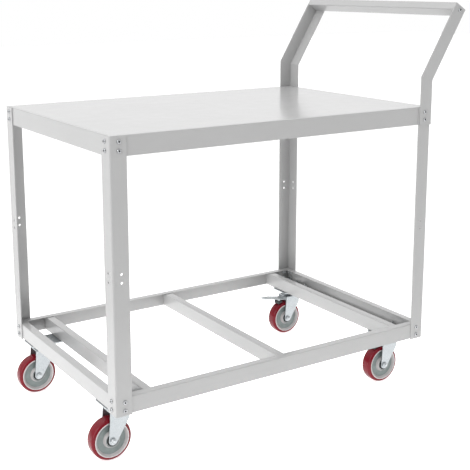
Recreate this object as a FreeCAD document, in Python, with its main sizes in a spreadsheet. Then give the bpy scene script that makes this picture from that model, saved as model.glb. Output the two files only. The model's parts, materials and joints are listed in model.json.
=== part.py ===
"""Mobile welding table: a folded sheet top on four angle legs, an open lower frame, a push handle at
one end and four swivel casters, two of them braked.

Frame: +X runs along the table towards the handle, +Y from the front to the rear, +Z up. The origin is on
the floor, below the middle of the table's overall box with every caster trailing towards -X.
"""
import FreeCAD, Part
import math
import os
import types

import Sketcher

# Driving dimensions, in millimetres and degrees
SIZES = {
    "top_length": 914.4,
    "top_depth": 609.6,
    "top_sheet": 2.0,
    "top_bend": 3.0,
    "skirt_depth": 46.0,
    "leg_length": 629.5,
    "leg_width": 40.0,
    "leg_sheet": 2.5,
    "leg_bend": 3.5,
    "leg_top_gap": 1.5,
    "leg_foot_drop": 2.0,
    "shelf_hole_drop": 313.5,
    "rail_height": 40.0,
    "rail_flange": 20.0,
    "rail_sheet": 2.0,
    "rail_bend": 2.5,
    "bolt_radius": 3.0,
    "bolt_length": 16.0,
    "bolt_inset": 22.0,
    "bolt_pitch": 20.0,
    "hole_clearance": 0.3,
    "head_radius": 5.25,
    "head_height": 3.3,
    "head_crown": 1.8,
    "socket_flats": 4.0,
    "socket_depth": 1.8,
    "nut_flats": 10.0,
    "nut_height": 5.0,
    "handle_width": 40.0,
    "handle_sheet": 2.5,
    "handle_bend": 3.5,
    "handle_tail": 1.0,
    "handle_tail_round": 4.0,
    "handle_bend_rise": 67.0,
    "handle_lean": 31.4,
    "handle_slope": 207.5,
    "grip_rise": 20.0,
    "grip_gap": 1.5,
    "grip_sheet": 2.0,
    "grip_bolt_drop": 10.5,
    "caster_inset_y": 80.0,
    "plate_sheet": 3.0,
    "plate_margin": 3.2,
    "plate_width": 68.0,
    "plate_corner": 6.0,
    "plate_bolt_spread": 45.0,
    "plate_bolt_inset": 8.0,
    "slot_reach": 40.5,
    "slot_travel": 5.6,
    "race_radius": 18.5,
    "race_outer": 24.0,
    "race_depth": 7.0,
    "race_gap": 7.0,
    "ball_radius": 3.9,
    "kingpin_radius": 6.0,
    "kingpin_head_radius": 10.0,
    "kingpin_head_height": 3.5,
    "kingpin_nut_flats": 17.0,
    "kingpin_nut_height": 7.0,
    "crown_clearance": 16.5,
    "fork_gap": 38.0,
    "fork_sheet": 2.5,
    "fork_bend": 3.0,
    "fork_trail": 28.0,
    "fork_tip": 11.0,
    "fork_front": 14.0,
    "fork_lean": 4.9,
    "fork_slope": 31.5,
    "wheel_radius": 51.0,
    "tread_width": 32.0,
    "tread_depth": 8.0,
    "tread_round": 7.0,
    "rim_wall": 2.0,
    "rim_draft": 5.5,
    "web_thickness": 20.0,
    "hub_draft": 3.0,
    "hub_radius": 18.0,
    "hub_length": 36.0,
    "bearing_radius": 15.0,
    "bearing_bore": 6.0,
    "bearing_width": 9.0,
    "bearing_recess": 1.0,
    "axle_radius": 4.0,
    "axle_flats": 13.0,
    "axle_head_height": 5.5,
    "axle_nut_height": 6.5,
    "pedal_width": 32.0,
    "pedal_tip_width": 22.0,
    "pedal_sheet": 2.5,
    "pedal_pivot_rear": 30.0,
    "pedal_pivot_drop": 6.5,
    "pedal_knee_run": 18.0,
    "pedal_knee_rise": 2.0,
    "pedal_ramp_run": 32.0,
    "pedal_ramp_rise": 6.0,
    "pedal_tip_run": 32.0,
    "pedal_tip_rise": 4.0,
    "pivot_pin_radius": 2.5,
    "pivot_eye_radius": 4.5,
    "shoe_length": 12.0,
    "shoe_width": 24.0,
    "shoe_depth": 7.0,
    "shoe_start": 14.0,
    "shoe_gap": 3.0,
    "stem_width": 16.0,
    "stem_sheet": 4.0,
    "running_clearance": 0.08,
    "seat_gap": 0.03,
    "free_gap": 0.3,
}
BALL_COUNT = 14
SHEET_NAME = "Sizes"
TOUCH = 1e-4


class Size:
    """A number that also carries the sheet expression it comes from."""

    def __init__(self, value, text):
        self.value = value
        self.text = text

    def __add__(self, other):
        return Size(self.value + value_of(other), f"({self.text} + {text_of(other)})")

    def __sub__(self, other):
        return Size(self.value - value_of(other), f"({self.text} - {text_of(other)})")

    def __mul__(self, other):
        return Size(self.value * value_of(other), f"({self.text} * {text_of(other)})")

    def __truediv__(self, other):
        return Size(self.value / value_of(other), f"({self.text} / {text_of(other)})")

    def __neg__(self):
        return Size(-self.value, f"(0 - {self.text})")

    __radd__ = __add__
    __rmul__ = __mul__


def value_of(amount):
    """The plain number of a size or a number."""
    return amount.value if isinstance(amount, Size) else float(amount)


def text_of(amount):
    """The sheet expression of a size or a number."""
    return amount.text if isinstance(amount, Size) else f"({float(amount)!r})"


def sine(angle):
    return Size(math.sin(math.radians(angle.value)), f"sin({angle.text})")


def cosine(angle):
    return Size(math.cos(math.radians(angle.value)), f"cos({angle.text})")


def tangent(angle):
    return Size(math.tan(math.radians(angle.value)), f"tan({angle.text})")


def root(amount):
    return Size(math.sqrt(amount.value), f"sqrt({amount.text})")


doc = FreeCAD.newDocument("WeldingTable")
sheet = doc.addObject("Spreadsheet::Sheet", SHEET_NAME)
for row, (alias, number) in enumerate(SIZES.items(), start=1):
    sheet.set(f"A{row}", alias)
    sheet.set(f"B{row}", str(number))
    sheet.setAlias(f"B{row}", alias)
doc.recompute()
size = types.SimpleNamespace(
    **{alias: Size(number, f"{SHEET_NAME}.{alias}") for alias, number in SIZES.items()}
)
ZERO = Size(0.0, "0")
parts = []


# Helpers that build features and tie them to the sheet

def vector(x, y, z=0.0):
    return FreeCAD.Vector(value_of(x), value_of(y), value_of(z))


def place(obj, x, y, z, turn=None):
    """Puts an object at a point of the table's frame, turned about Y where turn gives an angle."""
    angle = value_of(turn) if turn else 0.0
    obj.Placement = FreeCAD.Placement(vector(x, y, z), FreeCAD.Rotation(FreeCAD.Vector(0, 1, 0), angle))
    for axis, amount in (("x", x), ("y", y), ("z", z)):
        obj.setExpression(f"Placement.Base.{axis}", text_of(amount))
    if turn:
        obj.setExpression("Placement.Rotation.Angle", text_of(turn))


def new_body(label, x=ZERO, y=ZERO, z=ZERO, turn=None, export=True):
    """A body at a point of the table's frame; its label names its file."""
    body = doc.addObject("PartDesign::Body", label)
    body.Label = label
    place(body, x, y, z, turn)
    if export:
        parts.append(body)
    return body


def origin_feature(body, role):
    return next(feature for feature in body.Origin.OriginFeatures if feature.Role == role)


def new_sketch(body, plane, lift=None):
    """A sketch on one of the body's own planes, lifted along the plane's normal where lift is given."""
    sketch = body.newObject("Sketcher::SketchObject", f"{body.Label}_sketch")
    sketch.AttachmentSupport = [(origin_feature(body, plane), "")]
    sketch.MapMode = "FlatFace"
    if lift is not None:
        sketch.setExpression("AttachmentOffset.Base.z", text_of(lift))
    return sketch


def tie(sketch, geometry, position, x, y):
    """Holds one point of a sketch at its distances from the sketch's origin."""
    for kind, amount in (("DistanceX", x), ("DistanceY", y)):
        index = sketch.addConstraint(
            Sketcher.Constraint(kind, -1, 1, geometry, position, value_of(amount))
        )
        sketch.setExpression(f"Constraints[{index}]", text_of(amount))


def outline(sketch, points):
    """A closed outline of straight lines through the points."""
    first = sketch.GeometryCount
    count = len(points)
    for index in range(count):
        start = vector(*points[index])
        end = vector(*points[(index + 1) % count])
        sketch.addGeometry(Part.LineSegment(start, end), False)
    for index in range(count):
        following = first + (index + 1) % count
        sketch.addConstraint(Sketcher.Constraint("Coincident", first + index, 2, following, 1))
        tie(sketch, first + index, 1, *points[index])


def box_outline(sketch, low, high):
    outline(sketch, [low, (high[0], low[1]), high, (low[0], high[1])])


def circle(sketch, x, y, radius):
    """A circle of a given radius about a point."""
    shape = Part.Circle(vector(x, y), FreeCAD.Vector(0, 0, 1), value_of(radius))
    geometry = sketch.addGeometry(shape, False)
    tie(sketch, geometry, 3, x, y)
    index = sketch.addConstraint(Sketcher.Constraint("Radius", geometry, value_of(radius)))
    sketch.setExpression(f"Constraints[{index}]", text_of(radius))


def slot(sketch, x_low, x_high, y, radius):
    """A round-ended slot along the sketch's X, between two end centres."""
    first = sketch.GeometryCount
    low, high, r, middle = value_of(x_low), value_of(x_high), value_of(radius), value_of(y)
    normal = FreeCAD.Vector(0, 0, 1)
    half_turn = math.pi / 2
    right = Part.ArcOfCircle(Part.Circle(vector(high, middle), normal, r), -half_turn, half_turn)
    left = Part.ArcOfCircle(Part.Circle(vector(low, middle), normal, r), half_turn, 3 * half_turn)
    sketch.addGeometry(Part.LineSegment(vector(low, middle - r), vector(high, middle - r)), False)
    sketch.addGeometry(right, False)
    sketch.addGeometry(Part.LineSegment(vector(high, middle + r), vector(low, middle + r)), False)
    sketch.addGeometry(left, False)
    for index in range(4):
        following = first + (index + 1) % 4
        sketch.addConstraint(Sketcher.Constraint("Tangent", first + index, 2, following, 1))
    sketch.addConstraint(Sketcher.Constraint("Equal", first + 1, first + 3))
    tie(sketch, first + 1, 3, x_high, y)
    tie(sketch, first + 3, 3, x_low, y)
    index = sketch.addConstraint(Sketcher.Constraint("Radius", first + 1, r))
    sketch.setExpression(f"Constraints[{index}]", text_of(radius))


def feature(body, kind, sketch, length=None, symmetric=False, reverse=False):
    """A pad or pocket of a sketch; with no length a pocket goes right through."""
    made = body.newObject(f"PartDesign::{kind}", f"{body.Label}_{kind.lower()}")
    made.Profile = sketch
    if length is None:
        made.Type = "ThroughAll"
    else:
        made.setExpression("Length", text_of(length))
    if symmetric:
        made.SideType = "Symmetric"
    made.Reversed = reverse
    return made


def pad(body, sketch, length, symmetric=False, reverse=False):
    return feature(body, "Pad", sketch, length, symmetric, reverse)


def pocket(body, sketch, length=None, symmetric=True, reverse=False):
    """Cuts a sketch out of the body and makes sure that something was cut."""
    doc.recompute()
    before = body.Shape.Volume
    made = feature(body, "Pocket", sketch, length, symmetric, reverse)
    doc.recompute()
    if body.Shape.Volume > before - TOUCH:
        raise RuntimeError(f"{body.Label}: a pocket cut nothing")
    return made


def revolve(body, sketch, axis):
    made = body.newObject("PartDesign::Revolution", f"{body.Label}_revolution")
    made.Profile = sketch
    made.ReferenceAxis = (origin_feature(body, axis), [""])
    return made


def edges_on(shape, lines):
    """Names of the edges whose ends lie on any of the lines, each a point and a direction."""
    names = []
    for index, edge in enumerate(shape.Edges, start=1):
        ends = [vertex.Point for vertex in edge.Vertexes]
        for point, direction in lines:
            if len(ends) == 2 and all(end.distanceToLine(point, direction) < TOUCH for end in ends):
                names.append(f"Edge{index}")
    return names


def rings_of(shape, radius):
    """Names of the circular edges of a given radius."""
    names = []
    for index, edge in enumerate(shape.Edges, start=1):
        if isinstance(edge.Curve, Part.Circle) and abs(edge.Curve.Radius - value_of(radius)) < TOUCH:
            names.append(f"Edge{index}")
    return names


def fillet(body, radius, lines=None, ring=None):
    """Rounds the edges that lie on some lines, or the circular edges of one radius."""
    doc.recompute()
    base = body.Tip
    names = edges_on(base.Shape, lines) if lines else rings_of(base.Shape, ring)
    if not names:
        raise RuntimeError(f"{body.Label}: no edge to round")
    made = body.newObject("PartDesign::Fillet", f"{body.Label}_fillet")
    made.Base = (base, names)
    made.setExpression("Radius", text_of(radius))


def along(direction, *points):
    """Lines in one direction through some points."""
    return [(vector(*point), FreeCAD.Vector(*direction)) for point in points]


def group(label, shapes):
    """A node that holds several like solids, each a separate piece."""
    obj = doc.addObject("Part::Feature", label)
    obj.Label = label
    obj.Shape = Part.makeCompound(shapes)
    parts.append(obj)


def hexagon(flats):
    """Corners of a hexagon with two flats square to the sketch's Y."""
    half = flats / 2
    corner = half * (2 / math.sqrt(3))
    return [
        (corner, ZERO), (corner / 2, half), (-corner / 2, half),
        (-corner, ZERO), (-corner / 2, -half), (corner / 2, -half),
    ]


# Places worked out from the driving dimensions

hole_radius = size.bolt_radius + size.hole_clearance
wheel_top = size.wheel_radius * 2
crown_under = wheel_top + size.crown_clearance
crown_top = crown_under + size.fork_sheet
race_under = crown_top + size.race_gap
plate_under = race_under + size.race_depth
frame_under = plate_under + size.plate_sheet
rail_top = frame_under + size.rail_height
leg_bottom = frame_under - size.leg_foot_drop
leg_top = leg_bottom + size.leg_length
top_surface = leg_top + size.leg_top_gap

kingpin_inset = size.plate_bolt_inset + size.slot_reach - size.slot_travel / 2
lean_sine = sine(size.handle_lean)
lean_cosine = cosine(size.handle_lean)
left_reach = size.fork_trail + size.wheel_radius - kingpin_inset
right_reach = size.leg_sheet + size.handle_sheet + size.handle_slope * lean_sine
left_end = (left_reach - right_reach - size.top_length) / 2
right_end = left_end + size.top_length
half_depth = size.top_depth / 2
middle_x = left_end + size.top_length / 2

kingpin_y = half_depth - size.caster_inset_y
kingpin_x = {-1: left_end + kingpin_inset, 1: right_end - kingpin_inset}
rail_bolt_x = {-1: left_end + size.plate_bolt_inset, 1: right_end - size.plate_bolt_inset}
cross_bolt_x = {
    -1: kingpin_x[-1] + size.slot_reach,
    1: kingpin_x[1] - size.slot_reach + size.slot_travel,
}
cross_x = {
    "left": cross_bolt_x[-1] - size.plate_bolt_inset,
    "right": cross_bolt_x[1] - size.plate_bolt_inset,
}
cross_x["middle"] = (cross_x["left"] + cross_x["right"]) / 2

skirt_bolts = [
    top_surface - size.skirt_depth / 2 + size.bolt_pitch / 2,
    top_surface - size.skirt_depth / 2 - size.bolt_pitch / 2,
]
rail_bolts = [
    frame_under + size.rail_height / 2 + size.bolt_pitch / 2,
    frame_under + size.rail_height / 2 - size.bolt_pitch / 2,
]
shelf_holes = [
    top_surface - size.shelf_hole_drop + size.bolt_pitch / 2,
    top_surface - size.shelf_hole_drop - size.bolt_pitch / 2,
]
leg_bolt_x = {
    -1: left_end - size.leg_sheet + size.bolt_inset,
    1: right_end + size.leg_sheet - size.bolt_inset,
}
leg_bolt_y = half_depth + size.leg_sheet - size.bolt_inset

SIDES = {"left": -1, "right": 1}
ENDS = {"front": -1, "rear": 1}
CORNERS = [(end, side) for end in ENDS for side in SIDES]


# Table top and legs

def side_holes(body, plane, across, heights, radius):
    """Round holes at each distance across and each height, cut right through along the plane's normal."""
    sketch = new_sketch(body, plane)
    for distance in across:
        for height in heights:
            circle(sketch, distance, height, radius)
    pocket(body, sketch)


def make_table_top():
    """Folded pan: a flat sheet with a skirt on all four sides, open below."""
    body = new_body("table_top", middle_x, ZERO, top_surface)
    half_length = size.top_length / 2
    sheet_outline = new_sketch(body, "XY_Plane")
    box_outline(sheet_outline, (-half_length, -half_depth), (half_length, half_depth))
    pad(body, sheet_outline, size.skirt_depth, reverse=True)
    hollow = new_sketch(body, "XY_Plane", -size.top_sheet)
    inner_length = half_length - size.top_sheet
    inner_depth = half_depth - size.top_sheet
    box_outline(hollow, (-inner_length, -inner_depth), (inner_length, inner_depth))
    pocket(body, hollow, size.skirt_depth, symmetric=False)
    heights = [height - top_surface for height in skirt_bolts]
    across = [leg_bolt_x[side] - middle_x for side in (-1, 1)]
    side_holes(body, "XZ_Plane", across, heights, hole_radius)
    side_holes(body, "YZ_Plane", [-leg_bolt_y, leg_bolt_y], heights, hole_radius)
    corners = [(half_length, half_depth), (-half_length, half_depth)]
    corners += [(half_length, -half_depth), (-half_length, -half_depth)]
    fillet(body, size.top_bend, along((0, 0, 1), *corners))
    edges = along((1, 0, 0), (ZERO, half_depth), (ZERO, -half_depth))
    edges += along((0, 1, 0), (half_length, ZERO), (-half_length, ZERO))
    fillet(body, size.top_bend, edges)


def make_leg(end, side):
    """Angle leg outside the skirt and the rails, with bolt holes and a spare pair for a middle shelf."""
    along_x = -SIDES[side]
    along_y = -ENDS[end]
    corner_x = (left_end - size.leg_sheet) if along_x > 0 else (right_end + size.leg_sheet)
    corner_y = (half_depth + size.leg_sheet) * -along_y
    body = new_body(f"leg_{end}_{side}", corner_x, corner_y, leg_bottom)
    width_x, width_y = size.leg_width * along_x, size.leg_width * along_y
    sheet_x, sheet_y = size.leg_sheet * along_x, size.leg_sheet * along_y
    section = new_sketch(body, "XY_Plane")
    outline(section, [
        (ZERO, ZERO), (width_x, ZERO), (width_x, sheet_y),
        (sheet_x, sheet_y), (sheet_x, width_y), (ZERO, width_y),
    ])
    pad(body, section, size.leg_length)
    heights = [height - leg_bottom for height in skirt_bolts + shelf_holes + rail_bolts]
    side_holes(body, "XZ_Plane", [size.bolt_inset * along_x], heights, hole_radius)
    side_holes(body, "YZ_Plane", [size.bolt_inset * along_y], heights, hole_radius)
    fillet(body, size.leg_bend, along((0, 0, 1), (ZERO, ZERO)))
    fillet(body, size.leg_bend - size.leg_sheet, along((0, 0, 1), (sheet_x, sheet_y)))


# Lower frame

def make_long_rail(end):
    """Front or rear rail: an angle with its web outside and its flange on top, pointing inwards."""
    inward = -ENDS[end]
    body = new_body(f"{end}_rail", middle_x, half_depth * -inward, frame_under)
    flange, web = size.rail_flange * inward, size.rail_sheet * inward
    section = new_sketch(body, "YZ_Plane")
    outline(section, [
        (ZERO, ZERO), (web, ZERO), (web, size.rail_height - size.rail_sheet),
        (flange, size.rail_height - size.rail_sheet), (flange, size.rail_height),
        (ZERO, size.rail_height),
    ])
    corner_room = (size.leg_bend - size.leg_sheet) * 2
    pad(body, section, size.top_length - corner_room, symmetric=True)
    heights = [height - frame_under for height in rail_bolts]
    across = [leg_bolt_x[side] - middle_x for side in (-1, 1)]
    side_holes(body, "XZ_Plane", across, heights, hole_radius)
    fillet(body, size.rail_bend, along((1, 0, 0), (ZERO, ZERO, size.rail_height)))


def channel(body, inward, height):
    """Channel section along Y between the long rails' webs, open towards inward."""
    flange, web = size.rail_flange * inward, size.rail_sheet * inward
    upper = height - size.rail_sheet
    section = new_sketch(body, "XZ_Plane")
    outline(section, [
        (ZERO, ZERO), (flange, ZERO), (flange, size.rail_sheet), (web, size.rail_sheet),
        (web, upper), (flange, upper), (flange, height), (ZERO, height),
    ])
    pad(body, section, size.top_depth - size.rail_sheet * 2, symmetric=True)


def floor_holes(body, x):
    """Bolt holes for the two casters at this end, through the lower flange only."""
    sketch = new_sketch(body, "XY_Plane")
    for end in (-1, 1):
        for bolt in (-1, 1):
            circle(sketch, x, kingpin_y * end + size.plate_bolt_spread / 2 * bolt, hole_radius)
    pocket(body, sketch, size.rail_sheet * 2, symmetric=True)


def make_end_rail(side):
    """End rail: a channel with its web outside, its upper flange cut back to meet the long rails' flanges."""
    inward = -SIDES[side]
    face_x = left_end if inward > 0 else right_end
    body = new_body(f"{side}_end_rail", face_x, ZERO, frame_under)
    channel(body, inward, size.rail_height)
    notch = new_sketch(body, "XY_Plane", size.rail_height)
    low_y = half_depth - size.rail_flange
    for end in (-1, 1):
        box_outline(notch, (ZERO, low_y * end), (size.rail_flange * inward, half_depth * end))
    pocket(body, notch, size.rail_sheet, symmetric=False)
    heights = [height - frame_under for height in rail_bolts]
    side_holes(body, "YZ_Plane", [-leg_bolt_y, leg_bolt_y], heights, hole_radius)
    floor_holes(body, size.plate_bolt_inset * inward)
    upper, lower = (ZERO, ZERO, size.rail_height), (ZERO, ZERO, ZERO)
    fillet(body, size.rail_bend, along((0, 1, 0), upper, lower))


def make_cross_member(place_name):
    """Cross member: a channel tucked under the long rails' flanges, open towards the handle."""
    height = size.rail_height - size.rail_sheet
    body = new_body(f"{place_name}_cross_member", cross_x[place_name], ZERO, frame_under)
    channel(body, 1, height)
    if place_name != "middle":
        floor_holes(body, size.plate_bolt_inset)
    fillet(body, size.rail_bend, along((0, 1, 0), (ZERO, ZERO, height), (ZERO, ZERO, ZERO)))


# Push handle

upright_face_x = right_end + size.leg_sheet + size.handle_sheet
upright_face_y = half_depth + size.leg_sheet + size.handle_sheet
upright_bottom = top_surface - size.skirt_depth - size.handle_tail
bend_height = top_surface + size.handle_bend_rise
slope_end_x = upright_face_x + size.handle_slope * lean_sine
slope_end_z = bend_height + size.handle_slope * lean_cosine
bolt_from_face = size.bolt_inset + size.handle_sheet


def bent_strip(sketch, width):
    """Outline of a strip that stands on its outer face, then leans out by the handle's angle."""
    half_lean = size.handle_lean / 2
    low = upright_bottom - top_surface
    bend = size.handle_bend_rise
    run = size.handle_slope * lean_sine
    rise = size.handle_slope * lean_cosine
    outline(sketch, [
        (ZERO, low), (ZERO, bend), (run, bend + rise),
        (run - width * lean_cosine, bend + rise + width * lean_sine),
        (-width, bend + width * tangent(half_lean)), (-width, low),
    ])


def make_upright(end):
    """Handle upright: a mitred angle around the outside of a leg at the handle end."""
    outward = ENDS[end]
    body = new_body(f"handle_upright_{end}", upright_face_x, upright_face_y * outward, top_surface)
    forwards = outward < 0
    for width, depth in ((size.handle_width, size.handle_sheet), (size.handle_sheet, size.handle_width)):
        strip = new_sketch(body, "XZ_Plane")
        bent_strip(strip, width)
        pad(body, strip, depth, reverse=forwards)
    heights = [height - top_surface for height in skirt_bolts]
    side_holes(body, "XZ_Plane", [-bolt_from_face], heights, hole_radius)
    side_holes(body, "YZ_Plane", [bolt_from_face * -outward], heights, hole_radius)
    grip_hole = new_sketch(body, "XZ_Plane")
    centre = size.handle_width / 2
    drop = size.grip_bolt_drop
    circle(
        grip_hole,
        (slope_end_x - upright_face_x) - drop * lean_sine - centre * lean_cosine,
        (slope_end_z - top_surface) - drop * lean_cosine + centre * lean_sine,
        hole_radius,
    )
    pocket(body, grip_hole)
    low = upright_bottom - top_surface
    tail = along((0, 1, 0), (-size.handle_width, ZERO, low))
    tail += along((1, 0, 0), (ZERO, size.handle_width * -outward, low))
    fillet(body, size.handle_tail_round, tail)
    bend_line = along((0, 0, 1), (ZERO, ZERO, ZERO))
    slope_direction = (value_of(lean_sine), 0, value_of(lean_cosine))
    bend_line += along(slope_direction, (ZERO, ZERO, size.handle_bend_rise))
    fillet(body, size.handle_bend, bend_line)


def make_handle_bar():
    """Grip rail between the uprights: an angle with a bolted tab at each end."""
    body = new_body("handle_bar", slope_end_x, ZERO, slope_end_z, turn=size.handle_lean)
    far = -size.handle_width
    near = -size.handle_sheet - size.grip_gap
    length = (upright_face_y - size.handle_sheet) * 2
    section = new_sketch(body, "XZ_Plane")
    box_outline(section, (far, -size.grip_rise), (near, ZERO))
    pad(body, section, length, symmetric=True)
    hollow = new_sketch(body, "XZ_Plane")
    past = size.grip_sheet
    box_outline(hollow, (far + size.grip_sheet, -size.grip_rise + size.grip_sheet), (near + past, past))
    pocket(body, hollow, length - size.grip_sheet * 2)
    hole = new_sketch(body, "XZ_Plane")
    circle(hole, -size.handle_width / 2, -size.grip_bolt_drop, hole_radius)
    pocket(body, hole)
    fillet(body, size.rail_bend, along((0, 1, 0), (far, ZERO, -size.grip_rise)))


# Fasteners

def make_bolt():
    """Button-head bolt along +Z, its head's seat at the origin and its socket facing -Z."""
    body = new_body("bolt_pattern_piece", export=False)
    half = new_sketch(body, "XZ_Plane")
    outline(half, [
        (ZERO, -size.head_height), (size.head_radius - size.head_crown, -size.head_height),
        (size.head_radius, -size.head_height + size.head_crown), (size.head_radius, ZERO),
        (size.bolt_radius, ZERO), (size.bolt_radius, size.bolt_length), (ZERO, size.bolt_length),
    ])
    revolve(body, half, "Z_Axis")
    doc.recompute()
    socket = new_sketch(body, "XY_Plane", -size.head_height)
    outline(socket, hexagon(size.socket_flats))
    pocket(body, socket, size.socket_depth, symmetric=False, reverse=True)
    return body.Shape


def make_nut(label, flats, height, bore):
    """Hex nut along +Z, its seat at the origin."""
    body = new_body(label, export=False)
    sketch = new_sketch(body, "XY_Plane")
    outline(sketch, hexagon(flats))
    circle(sketch, ZERO, ZERO, bore)
    pad(body, sketch, height)
    doc.recompute()
    return body.Shape


def set_at(shape, point, direction, forward=0.0):
    """A copy of a piece that points along +Z, set at a point, turned to a direction and moved along it."""
    heading = FreeCAD.Vector(*direction)
    turn = FreeCAD.Rotation(FreeCAD.Vector(0, 0, 1), heading)
    copy = shape.copy()
    copy.Placement = FreeCAD.Placement(point + heading * value_of(forward), turn)
    return copy


def frame_joints():
    """Seat, inward direction and grip of every bolt of the frame and the handle."""
    joints = []
    for end, side in CORNERS:
        out_y, out_x = ENDS[end], SIDES[side]
        for heights, lower_sheet in ((skirt_bolts, size.top_sheet), (rail_bolts, size.rail_sheet)):
            handle = size.handle_sheet if (heights is skirt_bolts and out_x > 0) else ZERO
            grip = size.leg_sheet + lower_sheet + handle
            reach = size.leg_sheet + handle
            face_x = (right_end + reach) if out_x > 0 else (left_end - reach)
            face_y = (half_depth + reach) * out_y
            for height in heights:
                joints.append((vector(leg_bolt_x[out_x], face_y, height), (0, -out_y, 0), grip))
                joints.append((vector(face_x, leg_bolt_y * out_y, height), (-out_x, 0, 0), grip))
    centre, drop = size.handle_width / 2, size.grip_bolt_drop
    x = slope_end_x - drop * lean_sine - centre * lean_cosine
    z = slope_end_z - drop * lean_cosine + centre * lean_sine
    for out_y in ENDS.values():
        grip = size.handle_sheet + size.grip_sheet
        joints.append((vector(x, upright_face_y * out_y, z), (0, -out_y, 0), grip))
    return joints


def caster_joints():
    """Seat of every caster bolt, below its plate."""
    places = []
    for side in SIDES.values():
        for end in ENDS.values():
            for bolt in (-1, 1):
                y = kingpin_y * end + size.plate_bolt_spread / 2 * bolt
                places += [vector(rail_bolt_x[side], y, plate_under), vector(cross_bolt_x[side], y, plate_under)]
    return places


def make_fasteners():
    """Four groups of separate bolts and nuts."""
    bolt = make_bolt()
    nut = make_nut("nut_pattern_piece", size.nut_flats, size.nut_height, size.bolt_radius + size.seat_gap)
    joints = frame_joints()
    group("frame_bolts", [set_at(bolt, seat, inward) for seat, inward, _ in joints])
    group("frame_nuts", [set_at(nut, seat, inward, grip) for seat, inward, grip in joints])
    up = (0, 0, 1)
    caster_grip = size.plate_sheet + size.rail_sheet
    group("caster_bolts", [set_at(bolt, seat, up) for seat in caster_joints()])
    group("caster_nuts", [set_at(nut, seat, up, caster_grip) for seat in caster_joints()])


# Casters

trail = -size.fork_trail
fork_half = size.fork_gap / 2 + size.fork_sheet
pivot_x = -size.pedal_pivot_rear
pivot_z = crown_under - size.pedal_pivot_drop


def make_plate(name, x, y):
    """Caster plate with slotted bolt holes and a pressed upper ball race below it."""
    body = new_body(f"caster_plate_{name}", x, y, plate_under)
    half_length = size.slot_reach + hole_radius + size.plate_margin
    half_width = size.plate_width / 2
    plate = new_sketch(body, "XY_Plane")
    box_outline(plate, (-half_length, -half_width), (half_length, half_width))
    pad(body, plate, size.plate_sheet)
    race = new_sketch(body, "XY_Plane")
    circle(race, ZERO, ZERO, size.race_outer)
    pad(body, race, size.race_depth, reverse=True)
    slots = new_sketch(body, "XY_Plane")
    near = size.slot_reach - size.slot_travel
    for row in (-1, 1):
        slot_y = size.plate_bolt_spread / 2 * row
        slot(slots, near, size.slot_reach, slot_y, hole_radius)
        slot(slots, -size.slot_reach, -near, slot_y, hole_radius)
    pocket(body, slots)
    bore = new_sketch(body, "XY_Plane")
    circle(bore, ZERO, ZERO, size.kingpin_radius + size.seat_gap)
    pocket(body, bore)
    ball_groove(body, -size.race_depth - size.race_gap / 2, size.free_gap)
    corners = [(sx * half_length, sy * half_width) for sx in (-1, 1) for sy in (-1, 1)]
    fillet(body, size.plate_corner, along((0, 0, 1), *corners))


def ball_groove(body, height, clearance):
    """Cuts a round groove for the ball circle, with a clearance around the balls."""
    sketch = new_sketch(body, "XZ_Plane")
    circle(sketch, size.race_radius, height, size.ball_radius + clearance)
    doc.recompute()
    before = body.Shape.Volume
    made = body.newObject("PartDesign::Groove", f"{body.Label}_groove")
    made.Profile = sketch
    made.ReferenceAxis = (origin_feature(body, "Z_Axis"), [""])
    doc.recompute()
    if body.Shape.Volume > before - TOUCH:
        raise RuntimeError(f"{body.Label}: the ball groove cut nothing")


def make_kingpin(name, x, y):
    """Kingpin: a headed pin down through the plate and the fork, with a lock nut below the fork."""
    pin = new_body(f"kingpin_pin_{name}", export=False)
    half = new_sketch(pin, "XZ_Plane")
    nut_top = crown_under - size.free_gap - frame_under
    end = nut_top - size.kingpin_nut_height - size.kingpin_radius / 4
    head_slope = size.kingpin_head_height / 2
    outline(half, [
        (ZERO, end), (size.kingpin_radius, end), (size.kingpin_radius, ZERO),
        (size.kingpin_head_radius, ZERO), (size.kingpin_head_radius, head_slope),
        (size.kingpin_head_radius - head_slope, size.kingpin_head_height),
        (ZERO, size.kingpin_head_height),
    ])
    revolve(pin, half, "Z_Axis")
    doc.recompute()
    nut = make_nut(
        f"kingpin_nut_{name}", size.kingpin_nut_flats, size.kingpin_nut_height,
        size.kingpin_radius + size.seat_gap,
    )
    down = (0, 0, -1)
    group(f"kingpin_{name}", [
        set_at(pin.Shape, vector(x, y, frame_under), (0, 0, 1)),
        set_at(nut, vector(x, y, crown_under - size.free_gap), down),
    ])


def make_balls(name, x, y):
    """Ring of balls between the plate's race and the fork's."""
    ball = doc.addObject("Part::Sphere", f"ball_{name}")
    ball.setExpression("Radius", text_of(size.ball_radius))
    doc.recompute()
    height = crown_top + size.race_gap / 2
    balls = []
    for index in range(BALL_COUNT):
        angle = 2 * math.pi * index / BALL_COUNT
        offset = FreeCAD.Vector(math.cos(angle), math.sin(angle), 0) * value_of(size.race_radius)
        balls.append(set_at(ball.Shape, vector(x, y, height) + offset, (0, 0, 1)))
    group(f"swivel_balls_{name}", balls)


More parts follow.
